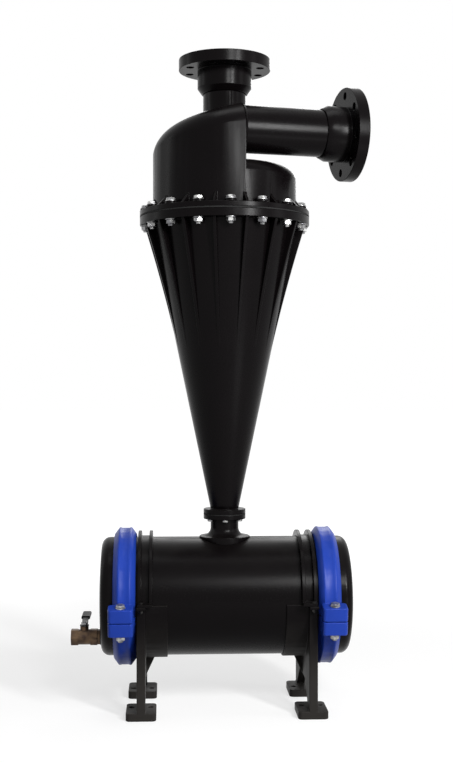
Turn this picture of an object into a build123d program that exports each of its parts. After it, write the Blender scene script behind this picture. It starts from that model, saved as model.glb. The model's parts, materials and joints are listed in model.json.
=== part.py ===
"""Hydrocyclone filter: a moulded cyclone that stands on a horizontal sediment tank.

Water enters through the flanged pipe at the side of the head, spins down the cone and leaves upwards
through the flanged outlet.  Sand drops through the apex into the tank, which is drained by a ball valve.

Millimetres.  The origin is on the ground below the cyclone's axis, +X runs along the tank away from the
drain valve, +Y runs to the back and +Z up.
"""
import os
from math import cos, radians, sin, sqrt

from build123d import *

os.makedirs("parts", exist_ok=True)

# Fits and cuts
fit_gap = 0.25  # room between round faces that seat on each other
running_gap = 0.08  # room round a shaft that turns
turning_gap = 0.5  # room between faces that turn past each other
overrun = 6  # how far a cut runs past the face that it opens
bite = 2  # how deep a rib or boss is rooted in the wall that carries it

# Sediment tank, a tube with a lip at each end
tank_radius = 140
tank_wall = 8
tank_height = 263  # axis above the ground
tank_half_length = 237
lip_height = 10
lip_width = 10

# End caps
cap_length = 61.5
cap_wall = 9
cap_corner = 20
cap_dome = 5
drain_boss_radius = 20
drain_edge = 1.5  # between the drain's boss and the cap's rounded corner

# Two-part clamps over the lips
clamp_half_width = 26.5
clamp_shoulder = 7  # outside the tank's wall
clamp_ridge_half_width = 14
clamp_wall = 13.5  # over the lips
clamp_groove_half_width = 8
clamp_groove_depth = 2
clamp_split_angle = 9.5  # the split dips by this at the front and rises by it at the back
clamp_split_gap = 1.5
lug_width = 57
lug_offset = 6.5  # the lugs' middle outside the clamp's
lug_reach = 32.5  # outside the ridge
lug_root = 8.5  # inside the ridge
lug_height = 32
lug_corner = 8
lug_bolt_inset = 17  # bolt behind the lug's end
lug_hole_radius = 7

# Stands and straps
web_thickness = 20
stand_gap = 2.5  # between the stand's web and the clamp beside it
stand_margin = 12  # the stand beyond the tank's side
leg_width = 27
pad_width = 70
pad_depth = 98
pad_thickness = 18
pad_corner = 10
anchor_spacing = 44
anchor_inset = 62  # anchor holes behind the pad's outer edge
anchor_hole_radius = 6
arch_depth = 50  # the arch's crown below the tank
arch_half_crown = 55
saddle_thickness = 5
saddle_length = 71.5
gusset_reach = 22
gusset_thickness = 12
ledge_lip = 1  # the ledge beyond each face of the web
ledge_reach = 31  # the ledge beyond the tank's side
ledge_thickness = 7
strap_edge = 1.5  # the strap's side inside the web's outer face
strap_width = 34.5
strap_web = 3
strap_rib = 8
strap_rib_height = 15  # outside the tank's wall
strap_bolt_inset = 7  # bolt behind the ledge's end
strap_hole_radius = 3.5

# Neck between the tank and the cone
neck_radius = 33.5
neck_bore_radius = 24
neck_rise = 55
neck_flare = 20
neck_foot_edge = 7  # the foot beyond the flare
neck_foot_thickness = 3
neck_foot_drop = 30
apex_flange_width = 17  # beyond the neck's wall
apex_flange_thickness = 11
apex_bolt_edge = 10  # bolts inside the flange's rim
apex_bolt_count = 6
apex_hole_radius = 4.5
apex_thread = 8  # depth of the screw holes in the cone
apex_gasket_thickness = 2

# Cone
cone_height = 709
cone_wall = 9
cone_step = 3  # the cone's top beyond the head's wall
cone_flange_thickness = 19
cone_rib_thickness = 8
cone_rib_height = 19
cone_rib_length = 300
cone_rib_mid_height = 6
cone_rib_mid_length = 155

# Bolted joint between the cone and the head
main_flange_width = 31.5  # beyond the head's wall
main_bolt_edge = 14  # bolts inside the flange's rim
main_bolt_count = 16
main_hole_radius = 6.5
main_gasket_thickness = 3
main_turn = 1.7  # the ring of bolts, turned from the tank's axis

# Head
head_wall = 10
head_flange_thickness = 12
roof_height = 118  # low roof above the head's base
roof_corner = 36
scroll_fall = 182  # how far the scroll's roof falls in a full turn
crease = 0.5  # the roof's rounding ends this far outside the wall, at a faint edge
head_rib_height = 24
head_rib_reach = 26
head_rib_thickness = 7
head_boss_radius = 13
head_boss_height = 6
outlet_radius = 51.5
outlet_wall = 6
outlet_rise = 129  # outlet flange's face above the scroll's top
finder_drop = 40  # inner end of the outlet pipe below the head's base

# Inlet pipe
pipe_radius = 55
pipe_wall = 6.6
inlet_gap = 7  # between the inlet pipe and the outlet pipe that it passes
inlet_edge = 3.5  # between the pipe and the head's side, and the scroll's roof
inlet_lift = 18  # between the pipe and the low roof below it
inlet_length = 115  # inlet flange's face beyond the head's side
inlet_step = 4  # the flat face that carries the pipe, ahead of the cyclone's axis

# Pipe flanges, both alike
flange_width = 45  # beyond the hub
flange_thickness = 27
flange_seat = 5  # the bore inside the pipe's outer wall
flange_lip = 12
flange_hub_wall = 10
flange_hub_length = 43
flange_hub_taper = 14
flange_hub_edge = 3
flange_bolt_edge = 20  # bolts inside the flange's rim
flange_bolt_count = 8
flange_hole_radius = 9

# Drain valve
nipple_radius = 12.75
nipple_bore_radius = 10
nipple_collar_flats = 33
nipple_collar_length = 6
nipple_thread = 12
valve_length = 63
valve_wall = 3.5  # round the ball
valve_hex_flats = 36
valve_hex_length = 17
valve_socket_depth = 14
ball_radius = 14.5
ball_flat = 1.5
valve_boss_radius = 10
valve_boss_height = 26
stem_radius = 4.5
stem_tip = 1.5  # the stem above the nut
lever_width = 15
lever_thickness = 3
lever_rise = 9
lever_bend_start = 22
lever_bend_run = 22
lever_shank = 2  # bare bar between the bend and the grip
lever_hub_radius = 11
grip_length = 66
grip_width = 21
grip_height = 9
grip_corner = 3.5
grip_end = 5
lever_nut_flats = 14
lever_nut_height = 6

# Tank, clamps and stands: radii about the tank's axis and places along it
tank_axis = Axis((0, 0, tank_height), (1, 0, 0))
seat_radius = tank_radius + fit_gap
lip_radius = tank_radius + lip_height
clamp_shoulder_radius = tank_radius + clamp_shoulder
clamp_ridge_radius = lip_radius + clamp_wall
lug_end = clamp_ridge_radius + lug_reach
lug_bolt_radius = lug_end - lug_bolt_inset
drain_height = tank_height - tank_radius + cap_corner + drain_boss_radius + drain_edge
web_outer = tank_half_length - max(clamp_half_width, lug_width / 2 - lug_offset) - stand_gap
web_centre = web_outer - web_thickness / 2
web_inner = web_outer - web_thickness
strap_outer = web_outer - strap_edge
stand_half_depth = tank_radius + stand_margin
arch_half_foot = stand_half_depth - leg_width
arch_crown = tank_height - tank_radius - arch_depth
ledge_end = tank_radius + ledge_reach
strap_bolt_radius = ledge_end - strap_bolt_inset

# Cyclone: radii about its axis, which follow from the two pipes that pass in the head
inlet_offset = outlet_radius + inlet_gap + pipe_radius
head_radius = inlet_offset + pipe_radius + inlet_edge
cone_top_radius = head_radius + cone_step
main_flange_radius = head_radius + main_flange_width
main_bolt_circle = main_flange_radius - main_bolt_edge
apex_flange_radius = neck_radius + apex_flange_width
apex_bolt_circle = apex_flange_radius - apex_bolt_edge
apex_bolt_turn = 180 / apex_bolt_count
flange_hub_radius = pipe_radius + flange_hub_wall
flange_bore_radius = pipe_radius - flange_seat
flange_radius = flange_hub_radius + flange_width
flange_bolt_circle = flange_radius - flange_bolt_edge

# Cyclone: levels from the ground up
neck_top = tank_height + tank_radius + neck_rise
cone_base = neck_top + apex_gasket_thickness
cone_top = cone_base + cone_height
cone_flange_base = cone_top - cone_flange_thickness
head_base = cone_top + main_gasket_thickness
head_flange_top = head_base + head_flange_thickness
roof_level = head_base + roof_height
inlet_level = roof_level + inlet_lift + pipe_radius
scroll_level = inlet_level + pipe_radius + inlet_edge
outlet_face = scroll_level + outlet_rise
cone_slope = (cone_top_radius - neck_radius) / (cone_height - cone_flange_thickness - apex_flange_thickness)

# Scroll and inlet: turned so that the inlet lies between two bolts
inlet_yaw = main_turn + 180 / main_bolt_count
inlet_reach = head_radius + inlet_length - inlet_step
scroll_rise = scroll_level - roof_level
scroll_turn = 360 * scroll_rise / scroll_fall
scroll_corner = pipe_radius + inlet_edge
head_plane = Plane.XY.rotated((0, 0, inlet_yaw))
inlet_start = head_plane.from_local_coords(Vector(inlet_step, -inlet_offset, inlet_level))
inlet_plane = Plane(inlet_start, x_dir=(0, 0, 1), z_dir=head_plane.x_dir)

# Drain valve: distances from the middle of the tank and heights above the drain's axis
cap_face = tank_half_length + cap_length
valve_inner = cap_face + nipple_collar_length
stem_x = valve_inner + valve_length / 2
lever_foot = valve_boss_height + turning_gap
stem_height = lever_foot + lever_thickness + lever_nut_height + stem_tip
lever_bend_end = lever_bend_start + lever_bend_run
lever_length = lever_bend_end + lever_shank + grip_length


def section_plane(side):
    """Upright plane through the tank axis; its x runs outwards to the given side and its y up."""
    return Plane(origin=(0, 0, tank_height), x_dir=(side, 0, 0), z_dir=(0, -side, 0))


def around_tank(x, angle):
    """Plane across the tank axis at x, turned about that axis; its y points outwards at the angle."""
    return Plane(origin=(x, 0, tank_height)).rotated((angle, 0, 0))


def radial_plane(angle):
    """Upright plane through the cyclone's axis; its x runs outwards at the angle and its y up."""
    return Plane(origin=(0, 0, 0), x_dir=(cos(radians(angle)), sin(radians(angle)), 0),
                 z_dir=(sin(radians(angle)), -cos(radians(angle)), 0))


def bolt_angles(count, start=0):
    """Angles of a ring of bolts."""
    return [start + 360 * place / count for place in range(count)]


def dome_sag(radius, rim_radius, rise):
    """How far a shallow dome has dropped from its crown at the given radius."""
    dome_radius = (rim_radius**2 + rise**2) / (2 * rise)
    return dome_radius - sqrt(dome_radius**2 - radius**2)


def cone_surface(level):
    """Outer radius of the cone's plain wall at a height."""
    return neck_radius + cone_slope * (level - cone_base - apex_flange_thickness)


def save(piece, label):
    """Names a finished piece and writes it."""
    piece.label = label
    export_step(piece, f"parts/{label}.step")


# Tank shell: a tube with a lip turned out at each end and a hole below the neck
with BuildPart() as tank_shell:
    with BuildSketch(section_plane(1)):
        with BuildLine():
            Polyline(
                (-tank_half_length, tank_radius - tank_wall),
                (-tank_half_length, lip_radius),
                (lip_width - tank_half_length, lip_radius),
                (lip_width - tank_half_length, tank_radius),
                (tank_half_length - lip_width, tank_radius),
                (tank_half_length - lip_width, lip_radius),
                (tank_half_length, lip_radius),
                (tank_half_length, tank_radius - tank_wall),
                close=True,
            )
        make_face()
    revolve(axis=tank_axis)
    with BuildSketch(Plane.XY.offset(tank_height)):
        Circle(neck_bore_radius)
    extrude(amount=tank_radius + overrun, mode=Mode.SUBTRACT)
save(tank_shell.part, "tank_shell")


def end_cap(side, drained):
    """Dished cap whose lip meets the tank's lip; the drained one has a bored boss low on its face."""
    rim = tank_half_length + cap_length - cap_dome
    flat_radius = tank_radius - cap_corner
    inner_radius = tank_radius - cap_wall
    half_way = flat_radius / 2
    half_sag = dome_sag(half_way, flat_radius, cap_dome)
    with BuildPart() as cap:
        with BuildSketch(section_plane(side)):
            with BuildLine():
                Polyline(
                    (rim - cap_corner, inner_radius),
                    (tank_half_length, inner_radius),
                    (tank_half_length, lip_radius),
                    (tank_half_length + lip_width, lip_radius),
                    (tank_half_length + lip_width, tank_radius),
                    (rim - cap_corner, tank_radius),
                )
                CenterArc((rim - cap_corner, flat_radius), cap_corner, 90, -90)
                ThreePointArc(
                    (rim, flat_radius), (rim + cap_dome - half_sag, half_way), (rim + cap_dome, 0)
                )
                Line((rim + cap_dome, 0), (rim + cap_dome - cap_wall, 0))
                ThreePointArc(
                    (rim + cap_dome - cap_wall, 0),
                    (rim + cap_dome - half_sag - cap_wall, half_way),
                    (rim - cap_wall, flat_radius),
                )
                CenterArc((rim - cap_corner, flat_radius), cap_corner - cap_wall, 0, 90)
            make_face()
        revolve(axis=tank_axis)
        if drained:
            boss_plane = Plane(origin=(side * (rim + cap_dome), 0, drain_height), z_dir=(side, 0, 0))
            with BuildSketch(boss_plane):
                Circle(drain_boss_radius)
            extrude(amount=-cap_wall)
            with BuildSketch(boss_plane):
                Circle(nipple_radius + fit_gap)
            extrude(amount=-cap_wall - cap_dome - overrun, mode=Mode.SUBTRACT)
    return cap.part


save(end_cap(-1, True), "left_end_cap")
save(end_cap(1, False), "right_end_cap")


def clamp_half(side, start_angle):
    """Half of a grooved clamp: it runs half round from start_angle and has a bolt lug at each end."""
    groove_half_width = lip_width + fit_gap
    groove_radius = lip_radius + fit_gap
    turned = around_tank(side * tank_half_length, start_angle)
    lug_middle = side * lug_offset
    with BuildPart() as clamp:
        with BuildSketch(turned):
            with BuildLine():
                Polyline(
                    (-clamp_half_width, seat_radius),
                    (-clamp_half_width, clamp_shoulder_radius),
                    (-clamp_ridge_half_width, clamp_ridge_radius),
                    (-clamp_groove_half_width, clamp_ridge_radius - clamp_groove_depth),
                    (clamp_groove_half_width, clamp_ridge_radius - clamp_groove_depth),
                    (clamp_ridge_half_width, clamp_ridge_radius),
                    (clamp_half_width, clamp_shoulder_radius),
                    (clamp_half_width, seat_radius),
                    (groove_half_width, seat_radius),
                    (groove_half_width, groove_radius),
                    (-groove_half_width, groove_radius),
                    (-groove_half_width, seat_radius),
                    close=True,
                )
            make_face()
        revolve(axis=tank_axis, revolution_arc=180)
        for end in (1, -1):
            with BuildSketch(turned):
                with Locations((lug_middle, end * (clamp_ridge_radius + (lug_reach - lug_root) / 2))):
                    RectangleRounded(lug_width, lug_reach + lug_root, lug_corner)
            extrude(amount=lug_height)
            with BuildSketch(turned):
                with Locations((lug_middle, end * lug_bolt_radius)):
                    Circle(lug_hole_radius)
            extrude(amount=lug_height + overrun, mode=Mode.SUBTRACT)
        with BuildSketch(turned):
            Rectangle(2 * clamp_half_width + lug_width, 2 * lug_end + overrun)
        extrude(amount=clamp_split_gap / 2, mode=Mode.SUBTRACT)
    return clamp.part


for side_name, side in (("left", -1), ("right", 1)):
    save(clamp_half(side, clamp_split_angle), f"{side_name}_clamp_upper")
    save(clamp_half(side, 180 + clamp_split_angle), f"{side_name}_clamp_lower")


def stand(side):
    """Arched web with a saddle under the tank, a ledge at each end of the saddle and two foot pads."""
    web_plane = Plane(origin=(side * web_centre, 0, 0), x_dir=(0, 1, 0), z_dir=(1, 0, 0))
    saddle_middle = side * (web_outer - saddle_length / 2)
    saddle_plane = Plane(origin=(saddle_middle, 0, tank_height), x_dir=(0, 1, 0), z_dir=(1, 0, 0))
    saddle_radius = seat_radius + saddle_thickness
    ledge_inner = seat_radius + saddle_thickness / 2
    with BuildPart() as frame:
        with BuildSketch(web_plane):
            with BuildLine():
                Polyline(
                    (-stand_half_depth, pad_thickness),
                    (-stand_half_depth, tank_height),
                    (stand_half_depth, tank_height),
                    (stand_half_depth, pad_thickness),
                    (arch_half_foot, pad_thickness),
                    (arch_half_crown, arch_crown),
                    (-arch_half_crown, arch_crown),
                    (-arch_half_foot, pad_thickness),
                    close=True,
                )
            make_face()
            with Locations((0, tank_height)):
                Circle(seat_radius, mode=Mode.SUBTRACT)
        extrude(amount=web_thickness / 2, both=True)
        with BuildSketch(saddle_plane):
            Circle(saddle_radius)
            Circle(seat_radius, mode=Mode.SUBTRACT)
            with Locations((0, saddle_radius / 2)):
                Rectangle(2 * saddle_radius, saddle_radius, mode=Mode.SUBTRACT)
        extrude(amount=saddle_length / 2, both=True)
        with BuildSketch(section_plane(side)):
            with BuildLine():
                Polyline(
                    (web_inner + bite, arch_crown - tank_height),
                    (web_inner, arch_crown - tank_height),
                    (web_inner - gusset_reach, bite - saddle_radius),
                    (web_inner + bite, bite - saddle_radius),
                    close=True,
                )
            make_face()
        extrude(amount=gusset_thickness / 2, both=True)
        for end in (1, -1):
            with BuildSketch(Plane.XY.offset(tank_height)):
                with Locations((side * web_centre, end * (ledge_inner + ledge_end) / 2)):
                    Rectangle(web_thickness + 2 * ledge_lip, ledge_end - ledge_inner)
                with Locations((side * web_centre, end * strap_bolt_radius)):
                    Circle(strap_hole_radius, mode=Mode.SUBTRACT)
            extrude(amount=-ledge_thickness)
            with BuildSketch(Plane.XY):
                with Locations((side * web_centre, end * (stand_half_depth - pad_depth / 2))):
                    RectangleRounded(pad_width, pad_depth, pad_corner)
                with Locations((side * web_centre, end * (stand_half_depth - anchor_inset))):
                    with GridLocations(anchor_spacing, 0, 2, 1):
                        Circle(anchor_hole_radius, mode=Mode.SUBTRACT)
            extrude(amount=pad_thickness)
    return frame.part


def strap(side):
    """Half ring with two ribs that holds the tank down; its ears rest on the stand's ledges."""
    strap_inner = strap_outer - strap_width
    web_radius = seat_radius + strap_web
    rib_radius = tank_radius + strap_rib_height
    ear_root = seat_radius + strap_web / 2
    turned = Plane(origin=(0, 0, tank_height))
    with BuildPart() as band:
        with BuildSketch(turned):
            with BuildLine():
                Polyline(
                    (side * strap_inner, seat_radius),
                    (side * strap_inner, rib_radius),
                    (side * (strap_inner + strap_rib), rib_radius),
                    (side * (strap_inner + strap_rib), web_radius),
                    (side * (strap_outer - strap_rib), web_radius),
                    (side * (strap_outer - strap_rib), rib_radius),
                    (side * strap_outer, rib_radius),
                    (side * strap_outer, seat_radius),
                    close=True,
                )
            make_face()
        revolve(axis=tank_axis, revolution_arc=180)
        for end in (1, -1):
            with BuildSketch(turned):
                with Locations((side * (strap_inner + strap_outer) / 2, end * (ear_root + ledge_end) / 2)):
                    Rectangle(strap_width, ledge_end - ear_root)
                with Locations((side * web_centre, end * strap_bolt_radius)):
                    Circle(strap_hole_radius, mode=Mode.SUBTRACT)
            extrude(amount=ledge_thickness)
    return band.part


for side_name, side in (("left", -1), ("right", 1)):
    save(stand(side), f"{side_name}_stand")
    save(strap(side), f"{side_name}_strap")


# Neck: a flanged stub that flares out to a foot saddled on the tank
with BuildPart() as tank_neck:
    foot_top = tank_height + tank_radius + neck_foot_thickness
    foot_radius = neck_radius + neck_flare + neck_foot_edge
    with BuildSketch(Plane.XZ):
        with BuildLine():
            Polyline(
                (neck_radius + neck_flare, foot_top),
                (foot_radius, foot_top),
                (foot_radius, foot_top - neck_foot_drop),
                (neck_bore_radius, foot_top - neck_foot_drop),
                (neck_bore_radius, neck_top),
                (apex_flange_radius, neck_top),
                (apex_flange_radius, neck_top - apex_flange_thickness),
                (neck_radius, neck_top - apex_flange_thickness),
                (neck_radius, foot_top + neck_flare),
            )
            CenterArc((neck_radius + neck_flare, foot_top + neck_flare), neck_flare, 180, 90)
        make_face()
    revolve(axis=Axis.Z)
    with BuildSketch(section_plane(1)):
        with Locations((0, seat_radius / 2)):
            Rectangle(2 * foot_radius + overrun, seat_radius)
    revolve(axis=tank_axis, mode=Mode.SUBTRACT)
    with BuildSketch(Plane.XY.offset(neck_top)):
        with PolarLocations(apex_bolt_circle, apex_bolt_count, apex_bolt_turn):
            Circle(apex_hole_radius)
    extrude(amount=-apex_flange_thickness, mode=Mode.SUBTRACT)
save(tank_neck.part, "tank_neck")

# Gasket in the apex joint
with BuildPart() as apex_gasket:
    with BuildSketch(Plane.XY.offset(neck_top)):
        Circle(apex_flange_radius)
        Circle(neck_bore_radius, mode=Mode.SUBTRACT)
        with PolarLocations(apex_bolt_circle, apex_bolt_count, apex_bolt_turn):
            Circle(apex_hole_radius, mode=Mode.SUBTRACT)
    extrude(amount=apex_gasket_thickness)
save(apex_gasket.part, "apex_gasket")

# Cone: a tapered shell with a small flange below, a large one above and ribs under the large one
with BuildPart() as cone:
    with BuildSketch(Plane.XZ):
        with BuildLine():
            Polyline(
                (neck_bore_radius, cone_base),
                (apex_flange_radius, cone_base),
                (apex_flange_radius, cone_base + apex_flange_thickness),
                (neck_radius, cone_base + apex_flange_thickness),
                (cone_top_radius, cone_flange_base),
                (main_flange_radius, cone_flange_base),
                (main_flange_radius, cone_top),
                (cone_top_radius - cone_wall, cone_top),
                (cone_top_radius - cone_wall, cone_flange_base),
                (neck_bore_radius, cone_base + apex_flange_thickness),
                close=True,
            )
        make_face()
    revolve(axis=Axis.Z)
    rib_foot = cone_flange_base - cone_rib_length
    rib_middle = cone_flange_base - cone_rib_mid_length
    for angle in bolt_angles(main_bolt_count, inlet_yaw):
        with BuildSketch(radial_plane(angle)):
            with BuildLine():
                ThreePointArc(
                    (cone_surface(rib_foot), rib_foot),
                    (cone_surface(rib_middle) + cone_rib_mid_height, rib_middle),
                    (cone_top_radius + cone_rib_height, cone_flange_base),
                )
                Polyline(
                    (cone_top_radius + cone_rib_height, cone_flange_base),
                    (cone_top_radius + cone_rib_height, cone_flange_base + bite),
                    (cone_top_radius - bite, cone_flange_base + bite),
                    (cone_surface(rib_foot) - bite, rib_foot),
                    (cone_surface(rib_foot), rib_foot),
                )
            make_face()
        extrude(amount=cone_rib_thickness / 2, both=True)
    with BuildSketch(Plane.XY.offset(cone_top)):
        with PolarLocations(main_bolt_circle, main_bolt_count, main_turn):
            Circle(main_hole_radius)
    extrude(amount=-cone_flange_thickness, mode=Mode.SUBTRACT)
    with BuildSketch(Plane.XY.offset(cone_base)):
        with PolarLocations(apex_bolt_circle, apex_bolt_count, apex_bolt_turn):
            Circle(apex_hole_radius)
    extrude(amount=apex_thread, mode=Mode.SUBTRACT)
save(cone.part, "cone")

# Gasket in the main joint
with BuildPart() as head_gasket:
    with BuildSketch(Plane.XY.offset(cone_top)):
        Circle(main_flange_radius)
        Circle(cone_top_radius - cone_wall, mode=Mode.SUBTRACT)
        with PolarLocations(main_bolt_circle, main_bolt_count, main_turn):
            Circle(main_hole_radius, mode=Mode.SUBTRACT)
    extrude(amount=main_gasket_thickness)
save(head_gasket.part, "head_gasket")


def roof_section(inset, corner):
    """Outline of all that lies over the low roof and its rounded outer corner, set in by a wall."""
    level = roof_level - inset
    rounding = corner - inset
    middle = head_radius - inset - rounding + crease
    core = outlet_radius - outlet_wall - bite
    Polyline(
        (middle, level),
        (core, level),
        (core, outlet_face),
        (middle + rounding + overrun, outlet_face),
        (middle + rounding + overrun, level - rounding),
        (middle + rounding, level - rounding),
    )
    CenterArc((middle, level - rounding), rounding, 0, 90)


def ramp_cutter(inset):
    """All that lies over the scroll's roof, which starts at the flat roof on +X and climbs in a screw."""
    with BuildPart() as cutter:
        with BuildLine(Plane.XY.offset(roof_level)):
            ramp = Helix(pitch=scroll_fall, height=scroll_rise, radius=head_radius)
        with BuildSketch(Plane.XZ):
            with BuildLine():
                roof_section(inset, scroll_corner)
            make_face()
        sweep(path=ramp, is_frenet=True)
    return cutter.part


def head_block(inset):
    """The head's form, set in by a wall: a drum whose roof falls in a screw from the inlet to a flat."""
    with BuildPart() as block:
        with BuildSketch(Plane.XY.offset(head_base)):
            Circle(head_radius - inset)
        extrude(amount=scroll_level - head_base - inset)
        with BuildSketch(radial_plane(inlet_yaw + 270)):
            with BuildLine():
                roof_section(inset, roof_corner)
            make_face()
        revolve(axis=Axis.Z, revolution_arc=360 - scroll_turn, mode=Mode.SUBTRACT)
        add(ramp_cutter(inset), rotation=(0, 0, inlet_yaw + 270 - scroll_turn), mode=Mode.SUBTRACT)
    return block.part


def inlet_face():
    """The scroll's end, drawn out ahead of the axis to the flat face that the inlet pipe is butted on."""
    foot = roof_level - roof_corner
    corner_middle = head_radius - scroll_corner + crease
    core = outlet_radius - outlet_wall / 2
    with BuildPart() as face:
        with BuildSketch(radial_plane(inlet_yaw + 270)):
            with BuildLine():
                Polyline(
                    (corner_middle, scroll_level),
                    (core, scroll_level),
                    (core, foot),
                    (corner_middle + scroll_corner, foot),
                    (corner_middle + scroll_corner, scroll_level - scroll_corner),
                )
                CenterArc((corner_middle, scroll_level - scroll_corner), scroll_corner, 0, 90)
            make_face()
        extrude(amount=-inlet_step)
        with BuildSketch(Plane.XY.offset(foot)):
            Circle(head_radius)
        extrude(amount=scroll_level - foot, mode=Mode.INTERSECT)
    return face.part


# Room inside the head, which stops a wall short of the flat face that the inlet comes through
with BuildPart() as head_hollow:
    add(head_block(head_wall))
    with BuildSketch(head_plane.offset(roof_level - head_wall)):
        with Locations((-head_wall, 0)):
            Rectangle(head_wall + overrun, head_radius, align=(Align.MIN, Align.MAX))
    extrude(amount=scroll_rise, mode=Mode.SUBTRACT)

# Head: a drum with a scroll roof that starts at the inlet's flat face, round the outlet pipe
with BuildPart() as cyclone_head:
    finder_end = head_base - finder_drop
    add(head_block(0))
    add(inlet_face())
    with BuildSketch(Plane.XY.offset(head_base)):
        Circle(main_flange_radius)
    extrude(amount=head_flange_thickness)
    with BuildSketch(Plane.XY.offset(head_flange_top)):
        with PolarLocations(main_bolt_circle, main_bolt_count, main_turn):
            Circle(head_boss_radius)
    extrude(amount=head_boss_height)
    for angle in bolt_angles(main_bolt_count, inlet_yaw):
        with BuildSketch(radial_plane(angle)):
            with BuildLine():
                Polyline(
                    (head_radius - bite, head_flange_top - bite),
                    (head_radius + head_rib_reach, head_flange_top - bite),
                    (head_radius + head_rib_reach, head_flange_top),
                    (head_radius, head_flange_top + head_rib_height),
                    (head_radius - bite, head_flange_top + head_rib_height),
                    close=True,
                )
            make_face()
        extrude(amount=head_rib_thickness / 2, both=True)
    add(head_hollow.part, mode=Mode.SUBTRACT)
    with BuildSketch(Plane.XY.offset(finder_end)):
        Circle(outlet_radius)
    extrude(amount=outlet_face - flange_lip - finder_end)
    with BuildSketch(Plane.XY.offset(finder_end)):
        Circle(outlet_radius - outlet_wall)
    extrude(amount=outlet_face - finder_end, mode=Mode.SUBTRACT)
    with BuildSketch(inlet_plane):
        Circle(pipe_radius - pipe_wall)
    extrude(amount=-inlet_step - head_wall - overrun, mode=Mode.SUBTRACT)
    with BuildSketch(Plane.XY.offset(head_base)):
        with PolarLocations(main_bolt_circle, main_bolt_count, main_turn):
            Circle(main_hole_radius)
    extrude(amount=head_flange_thickness + head_boss_height, mode=Mode.SUBTRACT)
save(cyclone_head.part, "cyclone_head")

# Inlet pipe: butted on the scroll's flat face
with BuildPart() as inlet_pipe:
    with BuildSketch(inlet_plane):
        Circle(pipe_radius)
        Circle(pipe_radius - pipe_wall, mode=Mode.SUBTRACT)
    extrude(amount=inlet_reach - flange_lip)
save(inlet_pipe.part, "inlet_pipe")


def pipe_flange(face, socket_radius):
    """Flange with a hub that slips over a pipe end; the face looks along the plane's z."""
    hub_end = flange_thickness + flange_hub_length
    with BuildPart() as flange:
        with BuildSketch(Plane(face.origin, x_dir=face.x_dir, z_dir=-face.y_dir)):
            with BuildLine():
                Polyline(
                    (flange_bore_radius, 0),
                    (flange_radius, 0),
                    (flange_radius, -flange_thickness),
                    (flange_hub_radius, -flange_thickness),
                    (flange_hub_radius, -hub_end),
                    (socket_radius + flange_hub_edge, -hub_end - flange_hub_taper),
                    (socket_radius, -hub_end - flange_hub_taper),
                    (socket_radius, -flange_lip),
                    (flange_bore_radius, -flange_lip),
                    close=True,
                )
            make_face()
        revolve(axis=Axis(face.origin, face.z_dir))
        with BuildSketch(face):
            with PolarLocations(flange_bolt_circle, flange_bolt_count, 180 / flange_bolt_count):
                Circle(flange_hole_radius)
        extrude(amount=-flange_thickness, mode=Mode.SUBTRACT)
    return flange.part


save(pipe_flange(inlet_plane.offset(inlet_reach), pipe_radius + fit_gap), "inlet_flange")
save(pipe_flange(Plane.XY.offset(outlet_face), outlet_radius + fit_gap), "outlet_flange")


def drain_plane(distance):
    """Plane across the drain pipe, that far from the middle of the tank, looking outwards."""
    return Plane(origin=(-distance, 0, drain_height), x_dir=(0, -1, 0), z_dir=(-1, 0, 0))


# Nipple: a short pipe with a hexagonal collar between the cap and the valve
with BuildPart() as drain_nipple:
    with BuildSketch(drain_plane(cap_face - nipple_thread)):
        Circle(nipple_radius)
    extrude(amount=nipple_thread + nipple_collar_length + valve_socket_depth - turning_gap)
    with BuildSketch(drain_plane(cap_face)):
        RegularPolygon(nipple_collar_flats / 2, 6, major_radius=False)
    extrude(amount=nipple_collar_length)
    with BuildSketch(drain_plane(cap_face - nipple_thread)):
        Circle(nipple_bore_radius)
    extrude(amount=nipple_thread + nipple_collar_length + valve_socket_depth, mode=Mode.SUBTRACT)
save(drain_nipple.part, "drain_nipple")

# Valve body: a barrel between two hexagons, with a boss for the stem and a round seat for the ball
with BuildPart() as valve_body:
    with BuildSketch(drain_plane(valve_inner)):
        Circle(ball_radius + valve_wall)
    extrude(amount=valve_length)
    for start in (valve_inner, valve_inner + valve_length - valve_hex_length):
        with BuildSketch(drain_plane(start)):
            RegularPolygon(valve_hex_flats / 2, 6, major_radius=False)
        extrude(amount=valve_hex_length)
    with BuildSketch(Plane(origin=(-stem_x, 0, drain_height))):
        Circle(valve_boss_radius)
    extrude(amount=valve_boss_height)
    with BuildSketch(drain_plane(valve_inner)):
        Circle(nipple_bore_radius)
    extrude(amount=valve_length, mode=Mode.SUBTRACT)
    for start in (valve_inner, valve_inner + valve_length - valve_socket_depth):
        with BuildSketch(drain_plane(start)):
            Circle(nipple_radius + fit_gap)
        extrude(amount=valve_socket_depth, mode=Mode.SUBTRACT)
    with Locations((-stem_x, 0, drain_height)):
        Sphere(ball_radius + fit_gap, mode=Mode.SUBTRACT)
    with BuildSketch(Plane(origin=(-stem_x, 0, drain_height))):
        Circle(stem_radius + running_gap)
    extrude(amount=valve_boss_height, mode=Mode.SUBTRACT)
save(valve_body.part, "valve_body")

# Ball: bored across the pipe while the valve is shut, with a flat for the stem
with BuildPart() as valve_ball:
    with Locations((-stem_x, 0, drain_height)):
        Sphere(ball_radius)
    with BuildSketch(Plane(origin=(-stem_x, 0, drain_height), z_dir=(0, 1, 0))):
        Circle(nipple_bore_radius)
    extrude(amount=ball_radius, both=True, mode=Mode.SUBTRACT)
    with BuildSketch(Plane(origin=(-stem_x, 0, drain_height + ball_radius - ball_flat))):
        Circle(ball_radius)
    extrude(amount=ball_radius, mode=Mode.SUBTRACT)
save(valve_ball.part, "valve_ball")

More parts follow.
